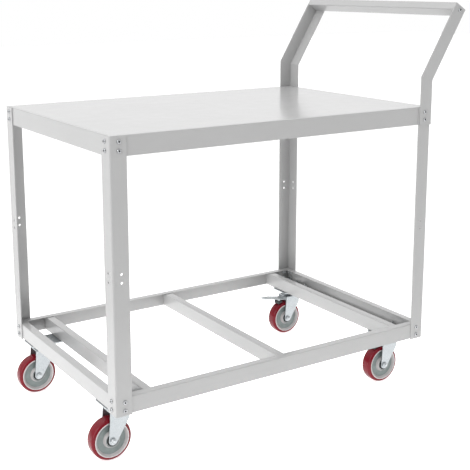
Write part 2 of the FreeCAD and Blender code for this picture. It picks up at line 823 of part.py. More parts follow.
def make_fork(name, x, y, braked):
    """Pressed fork: a crown under the race and two legs that trail back to the axle."""
    body = new_body(f"fork_{name}", x, y)
    lean, slope = size.fork_lean, size.fork_slope
    tip, axle_z = size.fork_tip, size.wheel_radius
    rear = (trail - tip * cosine(lean), axle_z + tip * sine(lean))
    front = (trail + tip * cosine(slope), axle_z - tip * sine(slope))
    rear_top = rear[0] + (crown_top - rear[1]) * tangent(lean)
    shoulder = front[1] + (size.fork_front - front[0]) / tangent(slope)
    side = new_sketch(body, "XZ_Plane")
    outline(side, [
        (trail, axle_z), rear, (rear_top, crown_top), (size.fork_front, crown_top),
        (size.fork_front, shoulder), front,
    ])
    pad(body, side, fork_half * 2, symmetric=True)
    eye = new_sketch(body, "XZ_Plane")
    circle(eye, trail, axle_z, tip)
    pad(body, eye, fork_half * 2, symmetric=True)
    fillet(body, size.fork_bend, along((1, 0, 0), (ZERO, fork_half, crown_top), (ZERO, -fork_half, crown_top)))
    inside = new_sketch(body, "XZ_Plane")
    reach = size.wheel_radius + size.fork_trail
    box_outline(inside, (-reach, ZERO), (reach, crown_under))
    pocket(body, inside, size.fork_gap)
    disc = new_sketch(body, "XY_Plane", crown_under)
    circle(disc, ZERO, ZERO, size.race_outer)
    pad(body, disc, size.fork_sheet)
    bore = new_sketch(body, "XY_Plane", crown_top)
    circle(bore, ZERO, ZERO, size.kingpin_radius + size.running_clearance)
    pocket(body, bore, size.fork_sheet, symmetric=False)
    holes = new_sketch(body, "XZ_Plane")
    circle(holes, trail, axle_z, size.axle_radius + size.seat_gap)
    if braked:
        circle(holes, pivot_x, pivot_z, size.pivot_pin_radius + size.running_clearance)
    pocket(body, holes)
    ball_groove(body, crown_top + size.race_gap / 2, size.seat_gap)


def make_axle(name, x, y):
    """Axle bolt, its lock nut and the spacer tube that the bearings run on."""
    bolt = new_body(f"axle_bolt_{name}", export=False)
    shank_length = fork_half * 2 + size.axle_nut_height + size.axle_radius / 2
    head = new_sketch(bolt, "XY_Plane")
    outline(head, hexagon(size.axle_flats))
    pad(bolt, head, size.axle_head_height, reverse=True)
    shank = new_sketch(bolt, "XY_Plane")
    circle(shank, ZERO, ZERO, size.axle_radius)
    pad(bolt, shank, shank_length)
    nut = make_nut(
        f"axle_nut_{name}", size.axle_flats, size.axle_nut_height, size.axle_radius + size.seat_gap
    )
    spacer = new_body(f"axle_spacer_{name}", export=False)
    ring = new_sketch(spacer, "XY_Plane")
    circle(ring, ZERO, ZERO, size.bearing_bore - size.running_clearance)
    circle(ring, ZERO, ZERO, size.axle_radius + size.seat_gap)
    pad(spacer, ring, size.fork_gap - size.seat_gap * 2)
    doc.recompute()
    forward = (0, -1, 0)
    centre = vector(x + trail, y, size.wheel_radius)
    group(f"axle_{name}", [
        set_at(bolt.Shape, centre, forward, -fork_half),
        set_at(nut, centre, forward, fork_half),
        set_at(spacer.Shape, centre, forward, -size.fork_gap / 2 + size.seat_gap),
    ])


def make_wheel(name, x, y):
    """Tread, core and two bearings of one wheel, turned about the axle."""
    axle_x, axle_z = x + trail, size.wheel_radius
    rim_radius = size.wheel_radius - size.tread_depth
    half_tread = size.tread_width / 2
    tread = new_body(f"tread_{name}", axle_x, y, axle_z)
    band = new_sketch(tread, "XY_Plane")
    box_outline(band, (rim_radius + size.seat_gap, -half_tread), (size.wheel_radius, half_tread))
    revolve(tread, band, "Y_Axis")
    fillet(tread, size.tread_round, ring=size.wheel_radius)

    core = new_body(f"wheel_core_{name}", axle_x, y, axle_z)
    rim_inner = rim_radius - size.rim_wall
    half_web, half_hub = size.web_thickness / 2, size.hub_length / 2
    seat = half_hub - size.bearing_recess - size.bearing_width
    bore = (size.bearing_bore + size.bearing_radius) / 2
    upper = [
        (rim_radius, half_tread), (rim_inner, half_tread), (rim_inner - size.rim_draft, half_web),
        (size.hub_radius + size.hub_draft, half_web), (size.hub_radius, half_hub),
        (size.bearing_radius, half_hub), (size.bearing_radius, seat), (bore, seat),
    ]
    lower = [(radius, -height) for radius, height in reversed(upper)]
    section = new_sketch(core, "XY_Plane")
    outline(section, upper + lower)
    revolve(core, section, "Y_Axis")

    bearing = new_body(f"bearing_{name}", export=False)
    ring = new_sketch(bearing, "XY_Plane")
    circle(ring, ZERO, ZERO, size.bearing_radius - size.seat_gap)
    circle(ring, ZERO, ZERO, size.bearing_bore)
    pad(bearing, ring, size.bearing_width)
    doc.recompute()
    centre = vector(axle_x, y, axle_z)
    group(f"wheel_bearings_{name}", [
        set_at(bearing.Shape, centre, direction, seat) for direction in ((0, -1, 0), (0, 1, 0))
    ])


def make_brake(name, x, y):
    """Brake pedal on its pivot pin, and the shoe that it presses on the tread."""
    pedal = new_body(f"pedal_blade_{name}", export=False)
    runs = [
        (ZERO, ZERO),
        (size.pedal_knee_run, size.pedal_knee_rise),
        (size.pedal_knee_run + size.pedal_ramp_run, size.pedal_knee_rise + size.pedal_ramp_rise),
        (
            size.pedal_knee_run + size.pedal_ramp_run + size.pedal_tip_run,
            size.pedal_knee_rise + size.pedal_ramp_rise + size.pedal_tip_rise,
        ),
    ]
    half_sheet = size.pedal_sheet / 2
    side = new_sketch(pedal, "XZ_Plane")
    outline(
        side,
        [(-run, rise - half_sheet) for run, rise in runs]
        + [(-run, rise + half_sheet) for run, rise in reversed(runs)],
    )
    pad(pedal, side, size.pedal_width, symmetric=True)
    eye = new_sketch(pedal, "XZ_Plane")
    circle(eye, ZERO, ZERO, size.pivot_eye_radius)
    pad(pedal, eye, size.pedal_width, symmetric=True)
    wheel_height = size.wheel_radius - pivot_z
    start, end = size.shoe_start, size.shoe_start + size.shoe_length
    stem_near = size.shoe_start + (size.shoe_length - size.stem_sheet) / 2
    stem_far = stem_near + size.stem_sheet
    slope = size.pedal_ramp_rise / size.pedal_ramp_run
    ramp_start = size.pedal_knee_rise - size.pedal_knee_run * slope

    def shoe_top(run):
        """Height of the shoe's back at a distance from the pivot: on a circle about the wheel."""
        reach = size.wheel_radius + size.shoe_gap + size.shoe_depth
        across = trail - pivot_x + run
        return wheel_height + root(reach * reach - across * across)

    back_fall = (shoe_top(start) - shoe_top(end)) / size.shoe_length
    stem_seat = shoe_top(start) + size.seat_gap
    stem = new_sketch(pedal, "XZ_Plane")
    outline(stem, [
        (-stem_near, ramp_start + stem_near * slope), (-stem_near, stem_seat - (stem_near - start) * back_fall),
        (-stem_far, stem_seat - (stem_far - start) * back_fall), (-stem_far, ramp_start + stem_far * slope),
    ])
    pad(pedal, stem, size.stem_width, symmetric=True)
    trim = new_sketch(pedal, "XY_Plane")
    half_width, half_tip = size.pedal_width / 2, size.pedal_tip_width / 2
    for edge in (-1, 1):
        outline(trim, [
            (-runs[2][0], half_width * edge), (-runs[3][0], half_tip * edge),
            (-runs[3][0] - size.pedal_sheet, half_tip * edge),
            (-runs[3][0] - size.pedal_sheet, half_width * 2 * edge),
            (-runs[2][0], half_width * 2 * edge),
        ])
    pocket(pedal, trim)
    hole = new_sketch(pedal, "XZ_Plane")
    circle(hole, ZERO, ZERO, size.pivot_pin_radius + size.seat_gap)
    pocket(pedal, hole)
    pin = new_body(f"pedal_pin_{name}", export=False)
    pin_section = new_sketch(pin, "XZ_Plane")
    circle(pin_section, ZERO, ZERO, size.pivot_pin_radius)
    pad(pin, pin_section, fork_half * 2, symmetric=True)
    doc.recompute()
    up = (0, 0, 1)
    pivot = vector(x + pivot_x, y, pivot_z)
    group(f"brake_pedal_{name}", [set_at(pedal.Shape, pivot, up), set_at(pin.Shape, pivot, up)])

    shoe = new_body(f"brake_shoe_{name}", x + pivot_x, y, pivot_z)
    block = new_sketch(shoe, "XZ_Plane")
    outline(block, [
        (-start, shoe_top(start)), (-end, shoe_top(end)), (-end, wheel_height), (-start, wheel_height)
    ])
    pad(shoe, block, size.shoe_width, symmetric=True)
    hollow = new_sketch(shoe, "XZ_Plane")
    circle(hollow, trail - pivot_x, wheel_height, size.wheel_radius + size.shoe_gap)
    pocket(shoe, hollow)


def make_caster(end, side):
    """One caster; the two at the handle end carry a brake."""
    name = f"{end}_{side}"
    x, y = kingpin_x[SIDES[side]], kingpin_y * ENDS[end]
    braked = side == "right"
    make_plate(name, x, y)
    make_kingpin(name, x, y)
    make_balls(name, x, y)
    make_fork(name, x, y, braked)
    make_axle(name, x, y)
    make_wheel(name, x, y)
    if braked:
        make_brake(name, x, y)


def check_document():
    """Stops if any object failed to compute or any sub-part is empty or broken."""
    doc.recompute()
    for obj in doc.Objects:
        if "Invalid" in obj.State or "Error" in obj.State:
            raise RuntimeError(f"{obj.Label} failed: {obj.State}")
    for obj in parts:
        if obj.Shape.isNull() or not obj.Shape.isValid() or not obj.Shape.Solids:
            raise RuntimeError(f"{obj.Label} has no valid solid")


def write_parts():
    os.makedirs("parts", exist_ok=True)
    for obj in parts:
        obj.Shape.exportStep(f"parts/{obj.Label}.step")


make_table_top()
for end, side in CORNERS:
    make_leg(end, side)
for end in ENDS:
    make_long_rail(end)
for side in SIDES:
    make_end_rail(side)
for place_name in ("left", "middle", "right"):
    make_cross_member(place_name)
for end in ENDS:
    make_upright(end)
make_handle_bar()
make_fasteners()
for end, side in CORNERS:
    make_caster(end, side)
check_document()
write_parts()
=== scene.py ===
"""Looks of the mobile welding table: finishes for the folded steel frame, turned wheels, brake
pedals, fasteners, a plain studio and a camera at the photograph's angle. Every length is in metres,
in the part's own frame."""

import json
import logging
import math
from collections.abc import Sequence
from dataclasses import dataclass, field
from enum import Enum

import bmesh
import bpy
import numpy as np
from mathutils import Matrix, Vector


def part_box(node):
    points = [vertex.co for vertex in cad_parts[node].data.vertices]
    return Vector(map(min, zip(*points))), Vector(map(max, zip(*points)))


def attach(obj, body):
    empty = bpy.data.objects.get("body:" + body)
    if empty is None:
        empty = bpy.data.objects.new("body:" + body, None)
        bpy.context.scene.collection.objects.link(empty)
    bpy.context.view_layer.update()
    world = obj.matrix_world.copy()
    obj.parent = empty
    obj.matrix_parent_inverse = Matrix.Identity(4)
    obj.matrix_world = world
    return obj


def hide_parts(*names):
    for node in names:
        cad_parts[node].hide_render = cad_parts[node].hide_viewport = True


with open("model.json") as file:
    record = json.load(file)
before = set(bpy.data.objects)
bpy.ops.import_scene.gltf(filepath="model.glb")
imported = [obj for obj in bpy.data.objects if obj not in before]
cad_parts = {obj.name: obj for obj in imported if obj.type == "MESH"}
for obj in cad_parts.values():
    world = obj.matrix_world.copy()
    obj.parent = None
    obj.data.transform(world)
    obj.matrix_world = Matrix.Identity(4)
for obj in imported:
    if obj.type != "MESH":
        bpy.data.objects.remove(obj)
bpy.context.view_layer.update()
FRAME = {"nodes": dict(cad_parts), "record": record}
LOG = logging.getLogger("welding_table")

Array = np.ndarray
Socket = bpy.types.NodeSocket
Material = bpy.types.Material
Colour = tuple[float, float, float]
Point = tuple[float, float, float]
Span = tuple[float, float]
Bend = tuple[float, float, float]  # two coordinates of a corner and its rounding radius
Surface = tuple[Array, Array]  # points and faces
Ring = tuple[float | Array, float | Array]  # radius and height, one for all or one per angle

MM = 0.001
TURN = 2.0 * math.pi
QUARTER = math.pi / 2.0
UP = np.array((0.0, 0.0, 1.0))
FORWARD = np.array((0.0, -1.0, 0.0))  # along the axles, towards the front of the table
WHITE = (1.0, 1.0, 1.0, 1.0)
WELD = 1e-6  # corners nearer than this are one point
FOLD = math.radians(32.0)  # edges that fold by more than this stay sharp
BEVEL_SAMPLES = 6
NOISE_MIDDLE = (0.3, 0.7)  # most of a noise's values lie between these
CONE_SLOPE = 0.58  # of the cone that cuts the corners of hexagons, at 30 degrees
NUT_CONE = 0.97  # that cone's radius at a nut's face, as a share of half the width over flats


class Corner(Enum):
    """The four casters, by their place under the table."""

    FRONT_LEFT = "front_left"
    FRONT_RIGHT = "front_right"
    REAR_LEFT = "rear_left"
    REAR_RIGHT = "rear_right"

    @property
    def braked(self) -> bool:
        """Whether this caster is at the handle end, where the brakes are."""
        return self.value.endswith("right")


# Node trees and finishes


@dataclass
class Nodes:
    """The node tree of a material or a world, with short calls that add and join its nodes."""

    tree: bpy.types.NodeTree

    def add(self, kind: str, **values: object) -> bpy.types.Node:
        """Adds a node and fills in its sockets and settings.

        Args:
            kind: The node's type.
            **values: Socket names, with underscores for spaces, or settings, and what each is set
                to; an output socket as a value is linked.

        Returns:
            The new node.
        """
        node = self.tree.nodes.new(kind)
        for key, value in values.items():
            if hasattr(node, key):
                setattr(node, key, value)
            else:
                self.put(node.inputs[key.replace("_", " ")], value)
        return node

    def put(self, socket: Socket, value: object) -> None:
        """Links an output to a socket, or sets the socket's own value.

        Args:
            socket: The input to fill.
            value: An output socket or a plain value.
        """
        if isinstance(value, Socket):
            self.tree.links.new(value, socket)
        else:
            socket.default_value = value

    def math(self, kind: str, operation: str, *terms: object) -> Socket:
        """Adds a node of plain or vector arithmetic.

        Args:
            kind: The node's type.
            operation: What it works out.
            *terms: Outputs or plain values, in the order of its inputs.

        Returns:
            The resulting number.
        """
        node = self.add(kind, operation=operation)
        for socket, term in zip(node.inputs, terms):
            self.put(socket, term)
        return node.outputs["Value"]

    def between(self, source: Socket, low: float, high: float, span: Span = NOISE_MIDDLE) -> Socket:
        """Stretches a span of a number to a range of values.

        Args:
            source: The number.
            low: The value at the start of the span and before it.
            high: The value at its end and after it.
            span: Where the span starts and ends.

        Returns:
            The stretched number.
        """
        node = self.add(
            "ShaderNodeMapRange", Value=source, From_Min=span[0], From_Max=span[1], To_Min=low,
            To_Max=high,
        )
        return node.outputs["Result"]


@dataclass(frozen=True)
class Noise:
    """A noise: about how many cells to the metre, how many finer layers and how strong they are."""

    cells: float
    detail: float = 3.0
    roughness: float = 0.5


class Graph(Nodes):
    """A material's node tree, around one principled shader."""

    def __init__(self, name: str) -> None:
        """Starts a material with one principled shader on its output.

        Args:
            name: The material's name.
        """
        self.material = bpy.data.materials.new(name)
        self.material.use_nodes = True
        super().__init__(self.material.node_tree)
        self.shader = self.tree.nodes["Principled BSDF"]
        self.place = self.add("ShaderNodeTexCoord").outputs["Object"]

    def noise(self, kind: Noise) -> Socket:
        """A noise on Object coordinates.

        Args:
            kind: Its grain.

        Returns:
            The noise.
        """
        node = self.add(
            "ShaderNodeTexNoise", Vector=self.place, Scale=kind.cells, Detail=kind.detail,
            Roughness=kind.roughness,
        )
        return node.outputs["Fac"]

    def tint(self, source: Socket, dark: Colour, light: Colour) -> Socket:
        """A colour that goes from dark to light over the middle of a noise.

        Args:
            source: The noise.
            dark: The colour where it is low.
            light: The colour where it is high.

        Returns:
            The colour.
        """
        ramp = self.add("ShaderNodeValToRGB", Fac=source)
        for element, spot, colour in zip(ramp.color_ramp.elements, NOISE_MIDDLE, (dark, light)):
            element.position = spot
            element.color = (*colour, 1.0)
        return ramp.outputs["Color"]

    def bump(self, height: Socket, depth: float, strength: float,
             normal: Socket | None = None) -> Socket:
        """A bump over an earlier normal.

        Args:
            height: The bump's height, from 0 to 1.
            depth: The length that a height of 1 stands for.
            strength: How much of the bump shows.
            normal: The earlier normal, if there is one.

        Returns:
            The new normal.
        """
        node = self.add("ShaderNodeBump", Height=height, Distance=depth, Strength=strength)
        if normal is not None:
            self.put(node.inputs["Normal"], normal)
        return node.outputs["Normal"]

    def softened(self, radius: float) -> Socket:
        """A normal that rounds sharp sheet edges by a small radius."""
        return self.add("ShaderNodeBevel", samples=BEVEL_SAMPLES, Radius=radius).outputs["Normal"]

    def finish(self, **values: object) -> Material:
        """Sets the shader's sockets and hands over the material.

        Args:
            **values: Socket names, with underscores for spaces, and a value or an output for each.

        Returns:
            The finished material.
        """
        for key, value in values.items():
            self.put(self.shader.inputs[key.replace("_", " ")], value)
        return self.material


@dataclass(frozen=True)
class Finish:
    """A finish whose tones, gloss and relief each follow a noise. The relief lies over edges that
    are softened by a radius, if there is one."""

    name: str
    dark: Colour
    light: Colour
    tone: Noise
    roughness: Span
    gloss: Noise
    relief: Noise
    relief_depth: float
    relief_strength: float
    gloss_span: Span = NOISE_MIDDLE
    edge_radius: float = 0.0
    metallic: float = 0.0
    specular: float = 0.5
    coat_weight: float = 0.0
    coat_roughness: float = 0.0

    def gloss_source(self, g: Graph) -> Socket:
        """What the gloss follows."""
        return g.noise(self.gloss)

    def material(self) -> Material:
        """Builds the finish's material.

        Returns:
            The material.
        """
        g = Graph(self.name)
        edges = g.softened(self.edge_radius) if self.edge_radius else None
        relief = g.noise(self.relief)
        return g.finish(
            Base_Color=g.tint(g.noise(self.tone), self.dark, self.light), Metallic=self.metallic,
            Roughness=g.between(self.gloss_source(g), *self.roughness, self.gloss_span),
            Normal=g.bump(relief, self.relief_depth, self.relief_strength, edges),
            Specular_IOR_Level=self.specular,
            Coat_Weight=self.coat_weight, Coat_Roughness=self.coat_roughness,
        )


@dataclass(frozen=True)
class PowderCoat(Finish):
    """Light grey gloss powder coat: fine orange peel, faint cloudiness and softened sheet edges."""

    name: str = "powder_coat_grey"
    dark: Colour = (0.390, 0.390, 0.390)
    light: Colour = (0.406, 0.406, 0.406)
    tone: Noise = Noise(7.0, 4.0)
    roughness: Span = (0.21, 0.24)
    gloss: Noise = Noise(30.0)
    relief: Noise = Noise(620.0, 2.0)
    relief_depth: float = 0.015 * MM
    relief_strength: float = 0.5
    edge_radius: float = 0.7 * MM
    coat_weight: float = 0.25
    coat_roughness: float = 0.12


@dataclass(frozen=True)
class BrightZinc(Finish):
    """Bright zinc plate on pressed steel: mottled, a little blue, with a fine spangle."""

    name: str = "bright_zinc"
    dark: Colour = (0.385, 0.41, 0.425)
    light: Colour = (0.48, 0.505, 0.52)
    tone: Noise = Noise(260.0, 5.0, 0.65)
    roughness: Span = (0.24, 0.40)
    gloss: Noise = Noise(420.0)
    relief: Noise = Noise(260.0, 5.0, 0.65)
    relief_depth: float = 0.03 * MM
    relief_strength: float = 0.6
    gloss_span: Span = (0.1, 0.8)
    edge_radius: float = 0.5 * MM
    metallic: float = 0.92

    def gloss_source(self, g: Graph) -> Socket:
        """The spangle's cells, which the gloss follows in place of a noise."""
        cells = g.add("ShaderNodeTexVoronoi", Vector=g.place, Scale=self.gloss.cells)
        return cells.outputs["Distance"]


@dataclass(frozen=True)
class Polyurethane(Finish):
    """Deep red cast tread: glossy from its mould, with faint clouding and a fine grain."""

    name: str = "red_polyurethane"
    dark: Colour = (0.150, 0.003, 0.010)
    light: Colour = (0.178, 0.005, 0.013)
    tone: Noise = Noise(38.0, 5.0)
    roughness: Span = (0.16, 0.22)
    gloss: Noise = Noise(120.0, 4.0)
    relief: Noise = Noise(900.0)
    relief_depth: float = 0.01 * MM
    relief_strength: float = 0.3
    specular: float = 0.26


@dataclass(frozen=True)
class CastCore(Finish):
    """Grey painted casting of a wheel's core, with a sandy surface under the paint."""

    name: str = "grey_casting"
    dark: Colour = (0.165, 0.195, 0.190)
    light: Colour = (0.215, 0.250, 0.245)
    tone: Noise = Noise(60.0, 4.0)
    roughness: Span = (0.38, 0.55)
    gloss: Noise = Noise(160.0)
    relief: Noise = Noise(700.0, 4.0, 0.6)
    relief_depth: float = 0.12 * MM
    relief_strength: float = 0.6


@dataclass(frozen=True)
class MachinedFace(Finish):
    """Bare turned metal: the rim face of a wheel's core and the bearing races."""

    name: str = "machined_face"
    dark: Colour = (0.46, 0.44, 0.44)
    light: Colour = (0.66, 0.63, 0.63)
    tone: Noise = Noise(520.0, 2.0)
    roughness: Span = (0.26, 0.42)
    gloss: Noise = Noise(240.0)
    relief: Noise = Noise(520.0, 2.0)
    relief_depth: float = 0.02 * MM
    relief_strength: float = 0.5
    metallic: float = 0.7


@dataclass(frozen=True)
class BlackRubber(Finish):
    """Matt black rubber of the brake shoes and the bearings' dust rings."""

    name: str = "black_rubber"
    dark: Colour = (0.012, 0.012, 0.013)
    light: Colour = (0.030, 0.030, 0.032)
    tone: Noise = Noise(90.0)
    roughness: Span = (0.55, 0.75)
    gloss: Noise = Noise(200.0)
    relief: Noise = Noise(650.0, 4.0, 0.6)
    relief_depth: float = 0.08 * MM
    relief_strength: float = 0.7
    edge_radius: float = 0.8 * MM


@dataclass(frozen=True)
class StudioFloor:
    """Plain pale studio floor. Around the object it is lit from below, as a light table is."""

    colour: Colour = (0.92, 0.92, 0.92)
    glow: float = 0.8
    glow_ends: Span = (0.4, 1.3)

    def plain(self, name: str = "studio_floor") -> Graph:
        """A pale, dull floor without a glow.

        Args:
            name: The material's name.

        Returns:
            The material's node tree.
        """
        g = Graph(name)
        g.finish(Base_Color=(*self.colour, 1.0), Roughness=0.9, Specular_IOR_Level=0.1)
        return g

    def lit(self) -> Graph:
        """The same floor with a glow that falls to nothing between two distances from the middle.

        Returns:
            The material's node tree.
        """
        g = self.plain("light_table")
        distance = g.math("ShaderNodeVectorMath", "LENGTH", g.place)
        glow = g.between(distance, self.glow, 0.0, self.glow_ends)
        g.finish(Emission_Color=WHITE, Emission_Strength=glow)
        return g


class Finishes:
    """Every material of the table and its floor, built once."""

    def __init__(self) -> None:
        """Builds the materials."""
        self.paint = PowderCoat().material()
        self.zinc = BrightZinc().material()
        self.tread = Polyurethane().material()
        # Darker, fully metallic copy of the zinc for the bolt heads: the dark tone is a painted
        # dark reflection, standing for the dark surroundings they mirror.
        self.bolts = BrightZinc(
            "bolt_zinc_painted_shade", dark=(0.36, 0.37, 0.38), light=(0.50, 0.51, 0.52),
            roughness=(0.18, 0.26), metallic=1.0, edge_radius=0.15 * MM,
        ).material()
        # Near-black copy of the zinc for the hex sockets' floor and walls: painted shade in the
        # recesses.
        self.socket = BrightZinc(
            "socket_shade", dark=(0.030, 0.030, 0.033), light=(0.055, 0.055, 0.060),
            roughness=(0.5, 0.6), metallic=0.5, edge_radius=0.1 * MM,
        ).material()
        # Paler, less metallic copy of the zinc for nuts, axles and pedals: the lower gloss is a
        # duller plate, the paler tone is painted light that lifts them out of the shade under the
        # frame.
        self.dull_zinc_painted_light = BrightZinc(
            "dull_zinc_painted_light", dark=(0.50, 0.53, 0.545), light=(0.62, 0.65, 0.665), metallic=0.5
        ).material()
        self.core = CastCore().material()
        # Paler copy of the grey casting for the core's slanted walls: painted light, standing for
        # the light that falls on them.
        self.core_wall_painted_light = CastCore(
            "casting_painted_light", dark=(0.36, 0.345, 0.345), light=(0.45, 0.43, 0.43)
        ).material()
        self.machined = MachinedFace().material()
        self.bearing = MachinedFace(
            "bearing_steel", dark=(0.42, 0.43, 0.44), light=(0.66, 0.67, 0.68), metallic=1.0
        ).material()
        self.rubber = BlackRubber().material()
        self.floor = StudioFloor().plain().material
        self.light_table = StudioFloor().lit().material
        self.by_slot = {
            "painted_steel": self.paint, "zinc_steel": self.zinc, "bearing_steel": self.bearing,
            "red_tread": self.tread, "wheel_core": self.core, "brake_rubber": self.rubber,
        }


# Surfaces as whole arrays


def grid_faces(rows: int, columns: int, closed_rows: bool = False,
               closed_columns: bool = True) -> Array:
    """Quads of a grid whose points are numbered row by row.

    Args:
        rows: How many rows of points.
        columns: How many points in each row.
        closed_rows: Whether the last row joins the first.
        closed_columns: Whether each row's last point joins its first.

    Returns:
        One row of four point numbers per quad.
    """
    row = np.arange(rows if closed_rows else rows - 1)
    column = np.arange(columns if closed_columns else columns - 1)
    r, c = np.meshgrid(row, column, indexing="ij")
    next_r, next_c = (r + 1) % rows, (c + 1) % columns
    corners = ((r, c), (r, next_c), (next_r, next_c), (next_r, c))
    return np.stack([line * columns + spot for line, spot in corners], -1).reshape(-1, 4)


def rounded(corners: Sequence[Bend], steps: int = 5, closed: bool = True) -> Array:
    """A flat outline with rounded corners: each corner gives way to an arc tangent to both sides.

    Args:
        corners: Two coordinates and a rounding radius for each; a radius of 0 keeps it sharp.
        steps: Points on each arc, less one.
        closed: Whether the outline's ends join, so that its first and last corners are rounded too.

    Returns:
        The outline's points, one per row.
    """
    spots = np.array([corner[:2] for corner in corners])
    pieces = []
    for index, (_, _, radius) in enumerate(corners):
        here = spots[index]
        if radius <= 0.0 or (not closed and index in (0, len(corners) - 1)):
            pieces.append(here[None])
            continue
        back = spots[index - 1] - here
        ahead = spots[(index + 1) % len(corners)] - here
        back, ahead = back / np.linalg.norm(back), ahead / np.linalg.norm(ahead)
        half = math.acos(float(np.clip(back @ ahead, -1.0, 1.0))) / 2.0
        middle = (back + ahead) / np.linalg.norm(back + ahead)
        centre = here + middle * (radius / math.sin(half))
        first = here + back * (radius / math.tan(half)) - centre
        last = here + ahead * (radius / math.tan(half)) - centre
        share = np.linspace(0.0, 1.0, steps + 1)[:, None]
        sweep = 2.0 * (QUARTER - half)
        arc = np.sin((1.0 - share) * sweep) * first + np.sin(share * sweep) * last
        pieces.append(centre + arc / math.sin(sweep))
    return np.concatenate(pieces)


def round_angles(segments: int) -> Array:
    """Even angles round a circle."""
    return np.linspace(0.0, TURN, segments, endpoint=False)


def turned(profile: Array, segments: int, closed: bool = True) -> Surface:
    """Surface of revolution: every profile point is carried round the local Z axis.

    Args:
        profile: Radius and height of each point.
        segments: Points round the circle.
        closed: Whether the profile is a closed loop.

    Returns:
        The points and the faces.
    """
    angle = round_angles(segments)
    ring = np.stack([np.cos(angle), np.sin(angle)], -1)
    flat = profile[:, None, :1] * ring[None]
    height = np.broadcast_to(profile[:, None, 1:], (len(profile), segments, 1))
    points = np.concatenate([flat, height], -1).reshape(-1, 3)
    return points, grid_faces(len(profile), segments, closed)


def from_rings(rings: Sequence[Ring], angle: Array) -> Surface:
    """Surface through rings stacked along Z, which need not be round or flat.

    Args:
        rings: Each ring's radius and height, the same all round or one for each angle.
        angle: The angles round each ring.

    Returns:
        The points and the faces.
    """
    radius = np.stack([np.broadcast_to(ring[0], angle.shape) for ring in rings])
    height = np.stack([np.broadcast_to(ring[1], angle.shape) for ring in rings])
    points = np.stack([radius * np.cos(angle), radius * np.sin(angle), height], -1)
    return points.reshape(-1, 3), grid_faces(len(rings), len(angle))


def hexagon_radius(angle: Array, flats: float) -> Array:
    """A hexagon's radius: half its width over the cosine of the angle from a flat's middle."""
    return flats / 2.0 / np.cos((angle % (math.pi / 3.0)) - math.pi / 6.0)


def cut_hexagon(angle: Array, flats: float, share: float) -> tuple[Array, float, Array]:
    """A hexagon whose corners are cut back by a cone, as on bolt heads and nuts: the cut goes down
    the side by the cone's slope times how far the hexagon stands out past the cone.

    Args:
        angle: Angles round the axis.
        flats: Width over flats.
        share: The cone's radius at the face, as a share of half the width over flats.

    Returns:
        The hexagon's radius at each angle, the cone's radius at the face, and how far down the side
        the cut goes at each angle.
    """
    hexagon = hexagon_radius(angle, flats)
    cone = flats / 2.0 * share
    return hexagon, cone, CONE_SLOPE * (hexagon - cone)


def facing(points: Array, origin: Array, axis: Array) -> Array:
    """Sets points that are built along +Z at an origin, with their Z turned to an axis."""
    turn = Vector(UP).rotation_difference(Vector(axis)).to_matrix()
    return points @ np.array(turn).T + np.asarray(origin)


@dataclass
class Piece:
    """One Blender object in the making: points, faces and a finish for each face."""

    name: str
    points: list[Array] = field(default_factory=list)
    faces: list[list[int]] = field(default_factory=list)
    finish: list[int] = field(default_factory=list)
    count: int = 0

    def add(self, points: Array, faces: Array, finish: int | Array = 0) -> None:
        """Adds a patch of surface.

        Args:
            points: The patch's points, in the table's frame.
            faces: Point numbers of each face, counted from the patch's own first point.
            finish: Which of the piece's materials the faces take: one number, or one per face.
        """
        self.points.append(points)
        self.faces.extend((faces + self.count).tolist())
        self.finish.extend(np.broadcast_to(finish, (len(faces),)).tolist())
        self.count += len(points)

    def build(self, body: str, slot: str, materials: list[Material], *replaced: str) -> None:
        """Makes the object, with closed seams and outward faces, and sets it on its body.

        Args:
            body: The CAD body it rides on.
            slot: The record's material slot; not used.
            materials: Its materials, in the order that the faces name them.
            *replaced: CAD nodes it stands for.
        """
        mesh = bpy.data.meshes.new(self.name)
        mesh.from_pydata(np.concatenate(self.points).tolist(), [], self.faces)
        mesh.polygons.foreach_set("material_index", np.array(self.finish, np.int32))
        work = bmesh.new()
        work.from_mesh(mesh)
        bmesh.ops.remove_doubles(work, verts=work.verts, dist=WELD)
        bmesh.ops.recalc_face_normals(work, faces=work.faces)
        work.to_mesh(mesh)
        work.free()
        mesh.polygons.foreach_set("use_smooth", np.ones(len(mesh.polygons), bool))
        mesh.set_sharp_from_angle(angle=FOLD)
        for material in materials:
            mesh.materials.append(material)
        obj = bpy.data.objects.new(self.name, mesh)
        bpy.context.scene.collection.objects.link(obj)
        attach(obj, body)
        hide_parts(*replaced)
        LOG.info("%s: %d faces on %s", self.name, len(mesh.polygons), body)


def node_centres(node: str) -> Array:
    """Middle of each loose solid in a CAD node: corners that edges join belong to one solid.

    Args:
        node: The CAD node's name.

    Returns:
        One centre per solid, sorted by place.
    """
    work = bmesh.new()
    work.from_mesh(FRAME["nodes"][node].data)
    bmesh.ops.remove_doubles(work, verts=work.verts, dist=WELD)
    left = set(work.verts)
    centres = []
    while left:
        stack = [left.pop()]
        low = high = stack[0].co.copy()
        while stack:
            vert = stack.pop()
            low = Vector(map(min, low, vert.co))
            high = Vector(map(max, high, vert.co))
            for edge in vert.link_edges:
                other = edge.other_vert(vert)
                if other in left:
                    left.remove(other)
                    stack.append(other)
        centres.append(tuple((low + high) / 2.0))
    work.free()
    return np.array(sorted(centres))


# The table


@dataclass
class SheetFrame:
    """The CAD nodes as they come: the folded top, legs, rails, cross members and handle keep their
    shapes."""

    finishes: Finishes

    def dress(self) -> None:
        """Gives every CAD node the finish of its slot."""
        slots = {row["node"]: row["material_slot"] for row in FRAME["record"]["subparts"]}
        for name, obj in FRAME["nodes"].items():
            obj.data.materials.clear()
            obj.data.materials.append(self.finishes.by_slot[slots[name]])
            LOG.info("%s: %s", name, slots[name])


